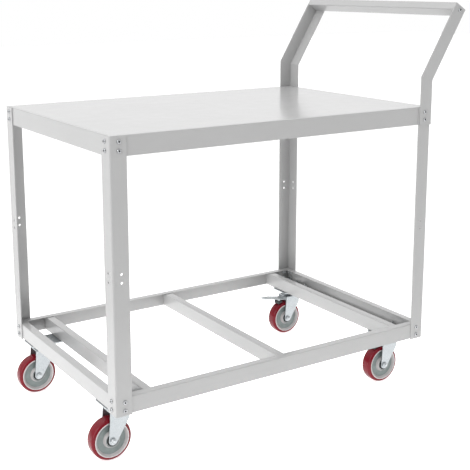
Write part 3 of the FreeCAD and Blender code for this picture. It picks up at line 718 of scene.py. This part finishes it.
@dataclass
class Wheel:
    """A tread cast on a dished core that runs on two shielded bearings."""

    corner: Corner
    finishes: Finishes
    radius: float = 51.0 * MM
    half_tread: float = 16.0 * MM
    shoulder: float = 7.0 * MM
    shoulder_steps: int = 12
    crown: float = 0.35 * MM
    band_points: int = 41
    mould_line: float = 0.12 * MM
    mould_line_width: float = 0.5 * MM
    rim: float = 43.0 * MM
    rim_inner: float = 41.0 * MM
    rim_draft: float = 5.5 * MM
    rim_edge: float = 0.6 * MM
    rim_lip: float = 0.4 * MM
    half_web: float = 10.0 * MM
    web_fillet: float = 3.0 * MM
    hub: float = 18.0 * MM
    hub_draft: float = 3.0 * MM
    hub_edge: float = 1.2 * MM
    half_hub: float = 18.0 * MM
    seat: float = 15.0 * MM
    seat_edge: float = 0.5 * MM
    seat_depth: float = 8.0 * MM
    bore: float = 9.5 * MM
    wall_start: float = 0.6 * MM
    wall_margin: float = 0.2 * MM
    shaft: float = 6.0 * MM
    bond: float = 0.03 * MM
    bearing_face: float = 17.0 * MM
    race: float = 0.5 * MM
    race_lip: float = 0.3 * MM
    race_steps: int = 3
    shield_sink: float = 0.4 * MM
    segments: int = 128
    centre: Array = field(init=False)

    def __post_init__(self) -> None:
        """Reads the wheel's middle from its CAD tread."""
        low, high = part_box(f"tread_{self.corner.value}")
        self.centre = np.array((low + high) / 2.0)

    def placed(self, profile: Array) -> Surface:
        """Turns a closed profile about the axle, at the wheel's middle."""
        points, faces = turned(profile, self.segments)
        return facing(points, self.centre, FORWARD), faces

    def build_tread(self) -> None:
        """Tread: a band with a faint crown, rounded shoulders and a mould line round its middle."""
        edge, half_flat = self.half_tread, self.half_tread - self.shoulder
        inner, base = self.rim + self.bond, self.radius - self.mould_line
        side = base - self.crown
        across = np.linspace(-1.0, 1.0, self.band_points)[1:-1]
        line = self.mould_line * np.exp(-((across * half_flat / self.mould_line_width) ** 2))
        band = np.stack([base - self.crown * across**2 + line, across * half_flat], -1)
        half = [(side, half_flat, 0.0), (side, edge, self.shoulder), (inner, edge, 0.0)]
        high = rounded(half, self.shoulder_steps, False)[1:]
        low = high[::-1] * np.array((1.0, -1.0))
        piece = Piece(f"tread_band_{self.corner.value}")
        piece.add(*self.placed(np.concatenate([low, band, high])))
        piece.build(
            f"wheel_{self.corner.value}", "red_tread", [self.finishes.tread],
            f"tread_{self.corner.value}",
        )

    def build_core(self) -> None:
        """Core: a dished casting with rounded hollows, slanted walls in a paler copy of the casting
        as painted light for the light that falls on them, and a bare turned face on each side of
        its rim."""
        half = [
            (self.bore, self.seat_depth, 0.0),
            (self.seat, self.seat_depth, 0.0),
            (self.seat, self.half_hub, self.seat_edge),
            (self.hub, self.half_hub, self.hub_edge),
            (self.hub + self.hub_draft, self.half_web, self.web_fillet),
            (self.rim_inner - self.rim_draft, self.half_web, self.web_fillet),
            (self.rim_inner, self.half_tread, self.rim_edge),
            (self.rim, self.half_tread, self.rim_lip),
        ]
        other = [(radius, -height, rounding) for radius, height, rounding in reversed(half)]
        profile = rounded(half + other)
        following = np.roll(profile, -1, axis=0)
        inmost = np.minimum(np.abs(profile), np.abs(following))
        face = np.array((self.rim_inner, self.half_tread)) - self.rim_lip
        bare = (inmost > face).all(axis=1)
        out, up = (np.abs(profile + following) / 2.0).T
        # Faces on the slanted walls between web and rim take the paler copy of the casting, as
        # painted light.
        painted_light_walls = (up > self.half_web + self.wall_start) & (up < self.half_hub) & ~bare
        painted_light_walls &= (out > self.seat + self.wall_margin) & (out < self.rim)
        points, faces = self.placed(profile)
        piece = Piece(f"wheel_casting_{self.corner.value}")
        piece.add(points, faces, np.repeat(bare + 2 * painted_light_walls, self.segments))
        piece.build(
            f"wheel_{self.corner.value}", "wheel_core",
            [self.finishes.core, self.finishes.machined, self.finishes.core_wall_painted_light],
            f"wheel_core_{self.corner.value}",
        )

    def build_bearings(self) -> None:
        """Bearings: two rings, each with a bright bore and a black dust ring out to a thin race."""
        outer, inner = self.seat - self.bond, self.shaft
        face, back = self.bearing_face, self.seat_depth
        shield = face - self.shield_sink
        profile = rounded([
            (outer, back, 0.0), (outer, face, self.race_lip),
            (outer - self.race, face, 0.0), (outer - self.race, shield, 0.0),
            (inner + self.race, shield, 0.0), (inner + self.race, face, 0.0),
            (inner, face, self.race_lip), (inner, back, 0.0),
        ], self.race_steps)
        out, up = ((profile + np.roll(profile, -1, axis=0)) / 2.0).T
        dark = (out < outer - self.race) & (out > inner + self.race)
        dark &= up > back + self.shield_sink
        piece = Piece(f"bearing_pair_{self.corner.value}")
        for side in (1.0, -1.0):
            points, faces = self.placed(profile * np.array((1.0, side)))
            piece.add(points, faces, np.repeat(dark.astype(int), self.segments))
        piece.build(
            f"wheel_{self.corner.value}", "bearing_steel",
            [self.finishes.bearing, self.finishes.rubber], f"wheel_bearings_{self.corner.value}",
        )

    def build(self) -> None:
        """Builds the wheel's three pieces."""
        self.build_tread()
        self.build_core()
        self.build_bearings()


@dataclass
class Fasteners:
    """Button-head bolts and hex nuts of the frame, the handle and the casters."""

    finishes: Finishes
    head_radius: float = 5.25 * MM
    head_height: float = 3.3 * MM
    head_rim: float = 0.5 * MM
    dome_width: float = 2.0 * MM
    dome_rings: int = 7
    socket_flats: float = 4.0 * MM
    socket_depth: float = 1.9 * MM
    socket_point: float = 0.4 * MM
    socket_bands: int = 2
    shank: float = 3.0 * MM
    length: float = 16.0 * MM
    thread_start: float = 5.0 * MM
    thread_stop: float = 0.6 * MM
    thread_depth: float = 0.35 * MM
    pitch: float = 1.0 * MM
    pitch_rings: float = 3.0
    tip_taper: float = 0.9 * MM
    nut_flats: float = 10.0 * MM
    nut_height: float = 5.0 * MM
    nut_chamfer: float = 0.5 * MM
    segments: int = 24

    def bolt(self) -> Surface:
        """A bolt along +Z with its seat at the origin: a domed head turned from an arc, a hex
        socket whose rim follows the hexagon's radius, and a thread whose radius falls and rises
        along the helix. The first bands of faces are the socket's floor and walls, which take a
        near-black finish as painted shade in the recess.

        Returns:
            The points and the faces.
        """
        angle = round_angles(self.segments)
        hexagon = hexagon_radius(angle, self.socket_flats)
        top = -self.head_height
        floor = top + self.socket_depth
        rings: list[Ring] = [(0.0, floor + self.socket_point), (hexagon, floor), (hexagon, top)]
        flat, rise = self.head_radius - self.dome_width, self.head_height - self.head_rim
        for swing in np.linspace(0.0, 1.0, self.dome_rings) * math.pi / 2.0:
            radius = flat + (self.head_radius - flat) * math.sin(swing)
            rings.append((radius, -self.head_rim - rise * math.cos(swing)))
        rings += [(self.head_radius, 0.0), (self.shank, 0.0), (self.shank, self.thread_start)]
        step = self.pitch / self.pitch_rings
        for height in np.arange(self.thread_start + step, self.length - self.thread_stop, step):
            phase = (height / self.pitch - angle / TURN) % 1.0
            rings.append((self.shank - self.thread_depth * 2.0 * np.abs(phase - 0.5), height))
        rings += [(self.shank - self.tip_taper, self.length), (0.0, self.length)]
        return from_rings(rings, angle)

    def nut(self) -> Surface:
        """A hex nut along +Z with its seat at the origin, its corners cut back by a cone at both
        faces.

        Returns:
            The points and the faces.
        """
        angle = round_angles(self.segments)
        hexagon, cone, cut = cut_hexagon(angle, self.nut_flats, NUT_CONE)
        height, chamfer = self.nut_height, self.nut_chamfer
        bore = self.shank - self.thread_depth / 2.0
        return from_rings([
            (bore, chamfer), (bore + chamfer, 0.0), (cone, 0.0), (hexagon, cut),
            (hexagon, height - cut), (cone, height), (bore + chamfer, height),
            (bore, height - chamfer), (bore, chamfer),
        ], angle)

    @staticmethod
    def inward(centre: Array) -> Array:
        """Direction of a frame bolt from its place: square to the side of the top it is nearest.

        Args:
            centre: The bolt's middle.

        Returns:
            A unit direction towards the inside.
        """
        low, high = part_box("table_top")
        middle_x, half_x = (low.x + high.x) / 2.0, (high.x - low.x) / 2.0
        along_x = abs(abs(centre[0] - middle_x) - half_x)
        along_y = abs(abs(centre[1]) - high.y)
        if along_y < along_x:
            return np.array((0.0, -np.sign(centre[1]), 0.0))
        return np.array((-np.sign(centre[0] - middle_x), 0.0, 0.0))

    def build_group(self, group: str, surface: Surface, middle: float, finish: int | Array,
                    materials: list[Material]) -> None:
        """Builds one kind of fastener for the frame and for the casters, at the CAD solids' places.

        Args:
            group: The kind's name in the CAD nodes.
            surface: Points and faces of one fastener.
            middle: How far along it the middle of its box is.
            finish: Which of the materials its faces take.
            materials: The materials.
        """
        points, faces = surface
        for place in ("frame", "caster"):
            piece = Piece(f"{place}_{group}_finished")
            for centre in node_centres(f"{place}_{group}"):
                axis = UP if place == "caster" else self.inward(centre)
                piece.add(facing(points, centre - axis * middle, axis), faces, finish)
            piece.build("frame", "zinc_steel", materials, f"{place}_{group}")

    def build(self) -> None:
        """Builds the four groups."""
        bolt = self.bolt()
        # The socket's floor and walls take the near-black finish, painted shade in the recess.
        socket_painted_shade_faces = np.arange(len(bolt[1])) < self.segments * self.socket_bands
        self.build_group(
            "bolts", bolt, (self.length - self.head_height) / 2.0, socket_painted_shade_faces.astype(int),
            [self.finishes.bolts, self.finishes.socket],
        )
        # Nuts take the paler zinc copy, painted light against the shade they sit in.
        self.build_group("nuts", self.nut(), self.nut_height / 2.0, 0, [self.finishes.dull_zinc_painted_light])


@dataclass
class Axle:
    """Axle of one wheel: a hex bolt, a domed lock nut and the spacer tube the bearings run on."""

    corner: Corner
    finishes: Finishes
    flats: float = 13.0 * MM
    head: float = 5.5 * MM
    head_cone: float = 0.96
    radius: float = 4.0 * MM
    tip_rise: float = 1.9 * MM
    tip_length: float = 1.0 * MM
    tip_taper: float = 0.8 * MM
    nut: float = 6.5 * MM
    collar_share: float = 0.32
    collar_step: float = 0.5 * MM
    dome_rings: int = 7
    dome_edge: float = 0.6 * MM
    half_fork: float = 21.5 * MM
    half_gap: float = 18.97 * MM
    spacer: float = 5.92 * MM
    segments: int = 48

    def bolt(self, angle: Array) -> list[Ring]:
        """Rings of the bolt from its head at -Z to its tapered tip, its seat at -half_fork.

        Args:
            angle: The angles round each ring.

        Returns:
            Radius and height of each ring.
        """
        hexagon, cone, cut = cut_hexagon(angle, self.flats, self.head_cone)
        seat = -self.half_fork
        top = seat - self.head
        end = self.half_fork + self.nut + self.tip_rise
        return [
            (0.0, top), (cone, top), (hexagon, top + cut), (hexagon, seat), (self.radius, seat),
            (self.radius, end - self.tip_length), (self.radius - self.tip_taper, end), (0.0, end),
        ]

    def lock_nut(self, angle: Array) -> list[Ring]:
        """Rings of the nut from its seat: a hexagon with its corners cut by a cone, then a round
        domed collar.

        Args:
            angle: The angles round each ring.

        Returns:
            Radius and height of each ring.
        """
        hexagon, cone, cut = cut_hexagon(angle, self.flats, NUT_CONE)
        seat = self.half_fork
        shoulder = seat + self.nut * (1.0 - self.collar_share)
        collar = cone - self.collar_step
        rise = self.nut * self.collar_share
        rings: list[Ring] = [
            (self.radius, seat), (cone, seat), (hexagon, seat + cut), (hexagon, shoulder - cut),
            (cone, shoulder), (collar, shoulder),
        ]
        for swing in np.linspace(0.0, QUARTER, self.dome_rings)[1:]:
            inset = (collar - self.radius - self.dome_edge) * (1.0 - math.cos(swing))
            rings.append((collar - inset, shoulder + rise * math.sin(swing)))
        return rings + [(self.radius, seat + self.nut - self.dome_edge)]

    def build(self) -> None:
        """Builds the axle as one piece on its fork."""
        low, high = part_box(f"tread_{self.corner.value}")
        centre = np.array((low + high) / 2.0)
        angle = round_angles(self.segments)
        tube = np.array([
            (self.radius, -self.half_gap), (self.spacer, -self.half_gap),
            (self.spacer, self.half_gap), (self.radius, self.half_gap),
        ])
        surfaces = (
            from_rings(self.bolt(angle), angle), from_rings(self.lock_nut(angle), angle),
            turned(tube, self.segments),
        )
        piece = Piece(f"axle_set_{self.corner.value}")
        for points, faces in surfaces:
            piece.add(facing(points, centre, FORWARD), faces)
        piece.build(
            f"fork_{self.corner.value}", "zinc_steel", [self.finishes.dull_zinc_painted_light],
            f"axle_{self.corner.value}",
        )


@dataclass
class Pedal:
    """Brake pedal of one caster: a pressed blade with a rolled eye on its pin, a stiffening bead,
    grip ridges across its tip and a tab down to the shoe. Runs are counted from the pivot."""

    corner: Corner
    finishes: Finishes
    pivot_rear: float = 30.0 * MM
    pivot_height: float = 112.0 * MM
    bends: tuple[Bend, ...] = (
        (0.0, 0.0, 0.0), (18.0 * MM, 2.0 * MM, 12.0 * MM), (50.0 * MM, 8.0 * MM, 12.0 * MM),
        (82.0 * MM, 12.0 * MM, 0.0),
    )
    bend_steps: int = 8
    path_points: int = 181
    half_width: float = 16.0 * MM
    half_tip: float = 11.0 * MM
    taper_start: float = 50.0 * MM
    tip_corner: float = 7.0 * MM
    sheet: float = 2.5 * MM
    across_points: int = 33
    edge_points: int = 5
    bead: float = 1.1 * MM
    bead_run: Span = (20.0 * MM, 58.0 * MM)
    bead_ends: Span = (8.0 * MM, 6.0 * MM)
    bead_width: float = 4.5 * MM
    ridge: float = 0.55 * MM
    ridge_pitch: float = 4.0 * MM
    ridge_run: Span = (62.0 * MM, 78.0 * MM)
    ridge_margin: float = 2.5 * MM
    ridge_end: float = 1.5 * MM
    stem_run: Span = (18.0 * MM, 22.0 * MM)
    stem_top: Span = (2.4 * MM, 3.2 * MM)
    stem_foot: Span = (-3.66 * MM, -5.21 * MM)
    stem_half_width: float = 8.0 * MM
    stem_flat: float = 0.94
    stem_face: float = 0.82
    eye: float = 4.5 * MM
    pin: float = 2.5 * MM
    half_pin: float = 21.5 * MM
    pin_edge: float = 0.5 * MM
    pin_steps: int = 3
    pin_segments: int = 40

    def path(self) -> Array:
        """Middle line of the blade, with rounded bends.

        Returns:
            Run and rise from the pivot, at even steps.
        """
        bends = rounded(self.bends, self.bend_steps, False)
        stretch = np.linalg.norm(np.diff(bends, axis=0), axis=1)
        length = np.concatenate([[0.0], np.cumsum(stretch)])
        even = np.linspace(0.0, length[-1], self.path_points)
        return np.stack([np.interp(even, length, along) for along in bends.T], -1)

    def half_widths(self, run: Array) -> Array:
        """Half width of the blade, which narrows towards the tip and ends in quarter circles.

        Args:
            run: Runs along the blade.

        Returns:
            The half width at each.
        """
        tip, corner = run[-1], self.tip_corner
        widths = (self.half_width, self.half_width, self.half_tip)
        wide = np.interp(run, (0.0, self.taper_start, tip), widths)
        room = np.clip(corner - (tip - run), 0.0, corner)
        return wide - corner + np.sqrt(corner**2 - room**2)

    def section(self) -> Array:
        """The loop round the sheet: over the top and round one edge, then the same turned over.

        Returns:
            One row each for the points' shares of the flat half width, how far past the flat they
            lie and how high, both in half thicknesses.
        """
        across = np.linspace(-1.0, 1.0, self.across_points)
        swing = np.linspace(QUARTER, -QUARTER, self.edge_points + 2)[1:-1]
        top = np.array([across, np.zeros_like(across), np.ones_like(across)])
        edge = np.array([np.ones_like(swing), np.cos(swing), np.sin(swing)])
        return np.concatenate([top, edge, -top, -edge], axis=1)

    def blade(self) -> Surface:
        """The blade's surface: the loop round the sheet is carried along the middle line. A bead
        rises along its middle as a bell curve, and the ridges are a raised cosine across the tip.

        Returns:
            The points, as run, side and rise from the pivot, and the faces.
        """
        line = self.path()
        slope = np.gradient(line, axis=0)
        slope /= np.linalg.norm(slope, axis=1)[:, None]
        run = line[:, 0]
        wide = self.half_widths(run)[:, None]
        half = self.sheet / 2.0
        spread, past, lift = self.section()
        side = spread * (wide - half) + past * half
        (start, stop), (rise, fall) = self.bead_run, self.bead_ends
        share = np.clip((run - start) / rise, 0.0, 1.0) * np.clip((stop - run) / fall, 0.0, 1.0)
        bead = self.bead * share**2 * (3.0 - 2.0 * share)
        bell = np.exp(-((side / self.bead_width) ** 2)) * bead[:, None]
        first, last = self.ridge_run
        wave = 0.5 - 0.5 * np.cos(TURN * run / self.ridge_pitch)
        grip = np.where((run > first) & (run < last), wave, 0.0)
        inside = np.clip((wide - self.ridge_margin - np.abs(side)) / self.ridge_end, 0.0, 1.0)
        thickness = np.full(len(run), half)
        thickness[[0, -1]] = 0.0
        ridges = self.ridge * grip[:, None] * inside * (lift == 1.0)
        height = lift * thickness[:, None] + bell + ridges
        square = np.stack([-slope[:, 1], slope[:, 0]], -1)
        place = line[:, None, :] + height[..., None] * square[:, None, :]
        points = np.stack([place[..., 0], side, place[..., 1]], -1)
        return points.reshape(-1, 3), grid_faces(*side.shape)

    def stem(self) -> Surface:
        """The tab from the blade down to the shoe's back: a four-sided outline carried across its
        width and drawn in a little at both ends.

        Returns:
            The points, as run, side and rise from the pivot, and the faces.
        """
        near, far = self.stem_run
        outline = np.array([
            (near, self.stem_top[0]), (near, self.stem_foot[0]),
            (far, self.stem_foot[1]), (far, self.stem_top[1]),
        ])
        ends = np.array((-1.0, -1.0, -self.stem_flat, self.stem_flat, 1.0, 1.0))
        shrink = np.array((0.0, self.stem_face, 1.0, 1.0, self.stem_face, 0.0))
        middle = outline.mean(axis=0)
        flat = middle + (outline - middle)[None] * shrink[:, None, None]
        side = np.broadcast_to((ends * self.stem_half_width)[:, None], flat.shape[:2])
        points = np.stack([flat[..., 0], side, flat[..., 1]], -1)
        return points.reshape(-1, 3), grid_faces(*side.shape)

    def build(self) -> None:
        """Builds the pedal and its pin as one piece on the brake's body."""
        low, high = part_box(f"kingpin_{self.corner.value}")
        king = np.array((low + high) / 2.0)
        pivot = np.array((king[0] - self.pivot_rear, king[1], self.pivot_height))
        piece = Piece(f"pedal_pressing_{self.corner.value}")
        for points, faces in (self.blade(), self.stem()):
            piece.add(pivot + points * np.array((-1.0, 1.0, 1.0)), faces)
        for bore, outer, end in (
            (self.pin, self.eye, self.half_width), (0.0, self.pin, self.half_pin),
        ):
            hollow = bore > 0.0
            profile = rounded([
                (bore, -end, 0.0), (outer, -end, self.pin_edge), (outer, end, self.pin_edge),
                (bore, end, 0.0),
            ], self.pin_steps, hollow)
            points, faces = turned(profile, self.pin_segments, hollow)
            piece.add(facing(points, pivot, FORWARD), faces)
        piece.build(
            f"brake_{self.corner.value}", "zinc_steel", [self.finishes.dull_zinc_painted_light],
            f"brake_pedal_{self.corner.value}",
        )


# Studio


def set_light(light: bpy.types.Light, towards: Vector, place: Vector) -> None:
    """Sets a light in the scene.

    Args:
        light: The light.
        towards: Direction from what it lights to the light.
        place: Where it stands.
    """
    obj = bpy.data.objects.new(light.name, light)
    obj.location = place
    obj.rotation_euler = towards.to_track_quat("Z", "Y").to_euler()
    bpy.context.scene.collection.objects.link(obj)


@dataclass(frozen=True)
class SkyLight:
    """Soft studio sky: its horizon is bright on one side and dim on the other, it gets brighter
    overhead by the square of the height, and it is plain white behind the object."""

    bright_side: Point = (0.66, 0.75, 0.0)
    horizon: Span = (0.06, 1.04)
    overhead: float = 1.25

    def build(self) -> None:
        """Makes the scene's world."""
        world = bpy.data.worlds.new("studio_sky")
        bpy.context.scene.world = world
        world.use_nodes = True
        sky = Nodes(world.node_tree)
        direction = sky.add("ShaderNodeTexCoord").outputs["Generated"]
        turn = sky.math("ShaderNodeVectorMath", "DOT_PRODUCT", direction, self.bright_side)
        horizon = sky.between(turn, *self.horizon, (-1.0, 1.0))
        height = sky.add("ShaderNodeSeparateXYZ", Vector=direction).outputs["Z"]
        square = sky.math("ShaderNodeMath", "MULTIPLY", height, height)
        strength = sky.math("ShaderNodeMath", "MULTIPLY_ADD", square, self.overhead, horizon)
        glow = sky.tree.nodes["Background"]
        sky.put(glow.inputs["Color"], WHITE)
        sky.put(glow.inputs["Strength"], strength)
        backdrop = sky.add("ShaderNodeBackground", Color=WHITE)
        seen = sky.add("ShaderNodeLightPath").outputs["Is Camera Ray"]
        choice = sky.add("ShaderNodeMixShader", Fac=seen)
        sky.put(choice.inputs[1], glow.outputs["Background"])
        sky.put(choice.inputs[2], backdrop.outputs["Background"])
        sky.put(sky.tree.nodes["World Output"].inputs["Surface"], choice.outputs["Shader"])


@dataclass(frozen=True)
class SoftSun:
    """A broad, even light from one direction, so that the whole floor is lit alike."""

    towards: Point = (-0.88, -0.24, 0.41)
    strength: float = 1.6
    width: float = 50.0

    def build(self) -> None:
        """Adds the light to the scene."""
        light = bpy.data.lights.new("soft_sun", "SUN")
        light.energy = self.strength
        light.angle = math.radians(self.width)
        set_light(light, Vector(self.towards), Vector())


@dataclass(frozen=True)
class SoftBox:
    """A small softbox, high at the left, that draws a highlight along the treads and the folded
    edges."""

    place: Point = (-2.0, -1.1, 2.1)
    target: Point = (-0.2, -0.1, 0.2)
    size: Span = (0.5, 1.1)
    power: float = 5.0

    def build(self) -> None:
        """Adds the light to the scene."""
        light = bpy.data.lights.new("soft_box", "AREA")
        light.shape = "RECTANGLE"
        light.size, light.size_y = self.size
        light.energy = self.power
        set_light(light, Vector(self.place) - Vector(self.target), Vector(self.place))


@dataclass(frozen=True)
class PhotoCamera:
    """The photograph's viewpoint: place, compass bearing, tilt and roll in degrees, lens and sensor
    in millimetres, and frame shift."""

    place: Point = (-1.3589, -2.1101, 1.0797)
    bearing: float = -33.114
    tilt: float = -11.274
    roll: float = -0.005
    lens: float = 73.59
    sensor: float = 36.0
    shift: Span = (-0.0025, -0.1277)
    reach: float = 60.0

    def build(self) -> None:
        """Adds the camera and makes it the scene's."""
        data = bpy.data.cameras.new("photo_camera")
        data.lens = self.lens
        data.sensor_width = self.sensor
        data.sensor_fit = "HORIZONTAL"
        data.shift_x, data.shift_y = self.shift
        data.clip_end = self.reach
        obj = bpy.data.objects.new("photo_camera", data)
        heading = Matrix.Rotation(math.radians(self.bearing), 4, "Z")
        lift = Matrix.Rotation(math.radians(90.0 + self.tilt), 4, "X")
        lean = Matrix.Rotation(math.radians(self.roll), 4, "Z")
        obj.matrix_world = Matrix.Translation(self.place) @ heading @ lift @ lean
        bpy.context.scene.collection.objects.link(obj)
        bpy.context.scene.camera = obj


@dataclass
class Studio:
    """Pale floor, soft light and the camera."""

    finishes: Finishes
    half_floor: float = 14.0
    middle_field: int = 4

    def build_floor(self) -> None:
        """A flat floor, far wider than the view: nine fields, the middle one lit from below."""
        table = StudioFloor().glow_ends[1]
        lines = np.array([-self.half_floor, -table, table, self.half_floor])
        across, along = np.meshgrid(lines, lines)
        points = np.stack([across, along, np.zeros_like(across)], axis=-1).reshape(-1, 3)
        faces = grid_faces(len(lines), len(lines), closed_columns=False)
        mesh = bpy.data.meshes.new("studio_floor")
        mesh.from_pydata(points.tolist(), [], faces.tolist())
        mesh.materials.append(self.finishes.floor)
        mesh.materials.append(self.finishes.light_table)
        mesh.polygons[self.middle_field].material_index = 1
        obj = bpy.data.objects.new("studio_floor", mesh)
        bpy.context.scene.collection.objects.link(obj)

    def build(self) -> None:
        """Builds the floor, the sky, the lights and the camera."""
        self.build_floor()
        SkyLight().build()
        SoftSun().build()
        SoftBox().build()
        PhotoCamera().build()
        bpy.context.scene.view_settings.view_transform = "Standard"
        bpy.context.scene.view_settings.look = "None"


def main() -> None:
    """Dresses the frame, builds the wheels, brakes and fasteners, and sets the studio."""
    logging.basicConfig(level=logging.INFO, format="%(name)s %(message)s")
    finishes = Finishes()
    SheetFrame(finishes).dress()
    for corner in Corner:
        Wheel(corner, finishes).build()
        Axle(corner, finishes).build()
        if corner.braked:
            Pedal(corner, finishes).build()
    Fasteners(finishes).build()
    Studio(finishes).build()


if __name__ == "__main__":
    main()
